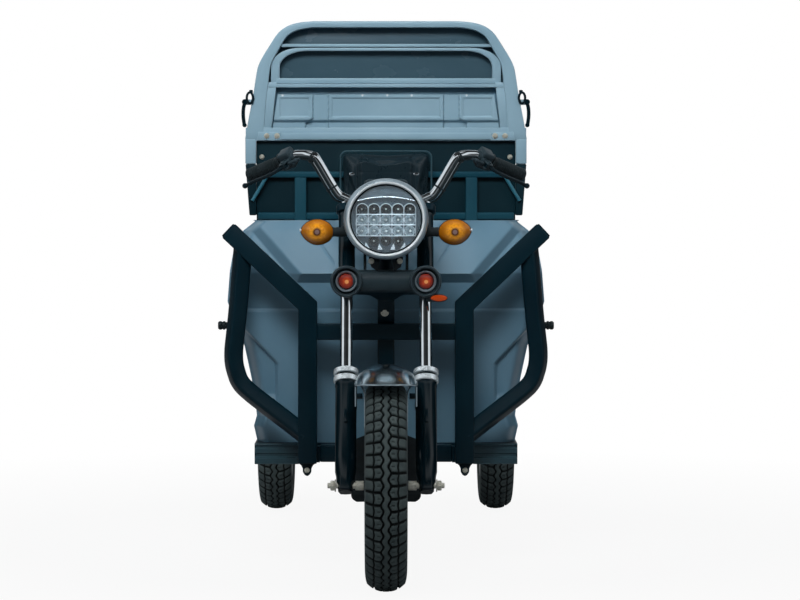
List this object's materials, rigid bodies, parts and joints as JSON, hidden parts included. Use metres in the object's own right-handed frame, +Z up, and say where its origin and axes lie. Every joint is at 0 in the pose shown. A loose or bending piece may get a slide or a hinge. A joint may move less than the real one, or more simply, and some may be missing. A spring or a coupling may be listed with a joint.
{
  "type": "electric cargo tricycle",
  "caption": "Electric cargo tricycle with a telescopic front fork, round headlight, leg shield, hooped guard frame behind the seat and an open cargo bed.",
  "frame": {"origin": "on the ground, below the middle of the whole tricycle's box", "axes": "+X to the rider's left, +Y to the rear along the tricycle, +Z up"},
  "size_m": [0.8178, 2.65, 1.411],
  "materials": {
    "backrest": "black imitation leather",
    "battery_pack": "grained plastic",
    "brake_lever_left": "gloss black paint",
    "brake_lever_right": "gloss black paint",
    "brake_pedal": "moulded rubber",
    "cargo_front_wall": "dark teal paint",
    "cargo_tub": "gloss blue-grey paint",
    "crash_bar_left": "gloss black paint",
    "crash_bar_right": "gloss black paint",
    "drive_motor": "cast aluminium",
    "footboard": "gloss black paint",
    "fork_cover": "grained plastic",
    "fork_ear_left": "gloss black paint",
    "fork_ear_right": "gloss black paint",
    "fork_leg_left": "gloss black paint",
    "fork_leg_right": "gloss black paint",
    "front_axle": "zinc-plated steel",
    "front_fender": "polished chrome",
    "front_frame": "gloss black paint",
    "front_rim": "gloss black paint",
    "front_tyre": "moulded tyre",
    "gantry_frame": "gloss blue-grey paint",
    "gantry_panel": "gloss blue-grey paint",
    "gantry_window": "dark teal paint",
    "grip_left": "moulded rubber",
    "handlebar": "polished chrome",
    "headlight_lens": "clear polycarbonate",
    "headlight_rim": "polished chrome",
    "headlight_shell": "gloss black paint",
    "horn_button": "gloss plastic",
    "ignition_key": "zinc-plated steel",
    "instrument": "grained plastic",
    "latch_left": "moulded rubber",
    "latch_right": "moulded rubber",
    "leaf_spring_left": "gloss black paint",
    "leaf_spring_right": "gloss black paint",
    "leg_shield": "gloss blue-grey paint",
    "lower_clamp": "gloss black paint",
    "mud_flap": "moulded rubber",
    "rail_left": "gloss black paint",
    "rail_right": "gloss black paint",
    "rear_axle": "gloss black paint",
    "rear_cross_member": "gloss black paint",
    "rear_rim_left": "gloss black paint",
    "rear_rim_right": "gloss black paint",
    "rear_tyre_left": "moulded tyre",
    "rear_tyre_right": "moulded tyre",
    "seat_base": "gloss black paint",
    "seat_box": "dark teal paint",
    "seat_cushion": "black imitation leather",
    "signal_left": "clear amber plastic",
    "signal_right": "clear amber plastic",
    "stanchion_left": "polished chrome",
    "stanchion_right": "polished chrome",
    "switch_pod_left": "grained plastic",
    "switch_pod_right": "grained plastic",
    "tail_lamp": "clear red plastic",
    "tailgate": "gloss blue-grey paint",
    "throttle_grip": "moulded rubber",
    "upper_clamp": "gloss black paint"
  },
  "bodies": {
    "chassis": {"front_frame": "front_frame", "crash_bar_left": "crash_bar_left", "crash_bar_right": "crash_bar_right", "rail_left": "rail_left", "rail_right": "rail_right", "rear_cross_member": "rear_cross_member", "leg_shield": "leg_shield", "footboard": "footboard", "seat_box": "seat_box", "battery_pack": "battery_pack", "backrest": "backrest", "cargo_tub": "cargo_tub", "cargo_front_wall": "cargo_front_wall", "gantry_frame": "gantry_frame", "gantry_panel": "gantry_panel", "gantry_window": "gantry_window", "leaf_spring_left": "leaf_spring_left", "leaf_spring_right": "leaf_spring_right", "tail_lamp": "tail_lamp"},
    "steering": {"lower_clamp": "lower_clamp", "upper_clamp": "upper_clamp", "stanchion_left": "stanchion_left", "stanchion_right": "stanchion_right", "fork_ear_left": "fork_ear_left", "fork_ear_right": "fork_ear_right", "fork_cover": "fork_cover", "handlebar": "handlebar", "grip_left": "grip_left", "switch_pod_left": "switch_pod_left", "switch_pod_right": "switch_pod_right", "instrument": "instrument", "signal_left": "signal_left", "signal_right": "signal_right"},
    "fork_lower": {"fork_leg_left": "fork_leg_left", "fork_leg_right": "fork_leg_right", "front_fender": "front_fender", "mud_flap": "mud_flap", "front_axle": "front_axle"},
    "front_wheel": {"front_rim": "front_rim", "front_tyre": "front_tyre"},
    "headlight": {"headlight_shell": "headlight_shell", "headlight_rim": "headlight_rim", "headlight_lens": "headlight_lens"},
    "throttle": {"throttle_grip": "throttle_grip"},
    "lever_left": {"brake_lever_left": "brake_lever_left"},
    "lever_right": {"brake_lever_right": "brake_lever_right"},
    "horn": {"horn_button": "horn_button"},
    "key": {"ignition_key": "ignition_key"},
    "running_gear": {"rear_axle": "rear_axle", "drive_motor": "drive_motor"},
    "rear_wheel_left": {"rear_rim_left": "rear_rim_left", "rear_tyre_left": "rear_tyre_left"},
    "rear_wheel_right": {"rear_rim_right": "rear_rim_right", "rear_tyre_right": "rear_tyre_right"},
    "seat": {"seat_base": "seat_base", "seat_cushion": "seat_cushion"},
    "bed_gate": {"tailgate": "tailgate"},
    "pedal": {"brake_pedal": "brake_pedal"},
    "latch_arm_left": {"latch_left": "latch_left"},
    "latch_arm_right": {"latch_right": "latch_right"}
  },
  "joints": [
    {"name": "steer", "type": "hinge", "parent": "chassis", "child": "steering", "pos_m": [0, -1.03905, 0.23247], "axis": [0, 0.4384, 0.8988], "range_deg": [-30, 30]},
    {"name": "fork_travel", "type": "slide", "parent": "steering", "child": "fork_lower", "axis": [0, 0.4384, 0.8988], "range_m": [0, 0.05], "stiffness_N_per_m": 20000, "springref_m": -0.1},
    {"name": "front_spin", "type": "hinge", "parent": "fork_lower", "child": "front_wheel", "pos_m": [0, -1.075, 0.25], "axis": [1, 0, 0], "continuous": true},
    {"name": "headlight_tilt", "type": "hinge", "parent": "steering", "child": "headlight", "pos_m": [0, -0.875, 0.879], "axis": [1, 0, 0], "range_deg": [-8, 8]},
    {"name": "throttle_twist", "type": "hinge", "parent": "steering", "child": "throttle", "pos_m": [-0.22, -0.69502, 1.03657], "axis": [-0.775, 0.5463, -0.3176], "range_deg": [0, 60], "stiffness_Nm_per_rad": 0.2, "springref_deg": -17.19},
    {"name": "horn_press", "type": "slide", "parent": "steering", "child": "horn", "axis": [0.3066, -0.7646, -0.567], "range_m": [0, 0.0025], "stiffness_N_per_m": 600, "springref_m": -0.001},
    {"name": "key_turn", "type": "hinge", "parent": "steering", "child": "key", "pos_m": [0.036, -0.67919, 0.92923], "axis": [0, 0.4384, 0.8988], "range_deg": [0, 90]},
    {"name": "rear_travel", "type": "slide", "parent": "chassis", "child": "running_gear", "axis": [0, 0, 1], "range_m": [0, 0.05], "stiffness_N_per_m": 60000, "springref_m": -0.08, "deforming": ["leaf_spring_left", "leaf_spring_right"]},
    {"name": "seat_lift", "type": "hinge", "parent": "chassis", "child": "seat", "pos_m": [0, -0.223, 0.663], "axis": [1, 0, 0], "range_deg": [0, 60]},
    {"name": "gate_drop", "type": "hinge", "parent": "chassis", "child": "bed_gate", "pos_m": [0, 1.317, 0.594], "axis": [-1, 0, 0], "range_deg": [0, 95]},
    {"name": "pedal_press", "type": "hinge", "parent": "chassis", "child": "pedal", "pos_m": [-0.12, -0.455, 0.345], "axis": [1, 0, 0], "range_deg": [0, 12], "stiffness_Nm_per_rad": 4, "springref_deg": -14.32},
    {"name": "lever_pull_right", "type": "hinge", "parent": "steering", "child": "lever_right", "pos_m": [-0.25212, -0.70572, 1.0084], "axis": [0.5526, 0.342, -0.76], "range_deg": [0, 12], "stiffness_Nm_per_rad": 1, "springref_deg": -11.46},
    {"name": "rear_spin_right", "type": "hinge", "parent": "running_gear", "child": "rear_wheel_right", "pos_m": [-0.326, 0.775, 0.25], "axis": [1, 0, 0], "continuous": true},
    {"name": "latch_swing_right", "type": "hinge", "parent": "chassis", "child": "latch_arm_right", "pos_m": [-0.386, 0.0775, 1.19], "axis": [0, 1, 0], "range_deg": [0, 90]},
    {"name": "lever_pull_left", "type": "hinge", "parent": "steering", "child": "lever_left", "pos_m": [0.25212, -0.70572, 1.0084], "axis": [0.5526, -0.342, 0.76], "range_deg": [0, 12], "stiffness_Nm_per_rad": 1, "springref_deg": -11.46},
    {"name": "rear_spin_left", "type": "hinge", "parent": "running_gear", "child": "rear_wheel_left", "pos_m": [0.326, 0.775, 0.25], "axis": [1, 0, 0], "continuous": true},
    {"name": "latch_swing_left", "type": "hinge", "parent": "chassis", "child": "latch_arm_left", "pos_m": [0.386, 0.0775, 1.19], "axis": [0, -1, 0], "range_deg": [0, 90]}
  ]
}
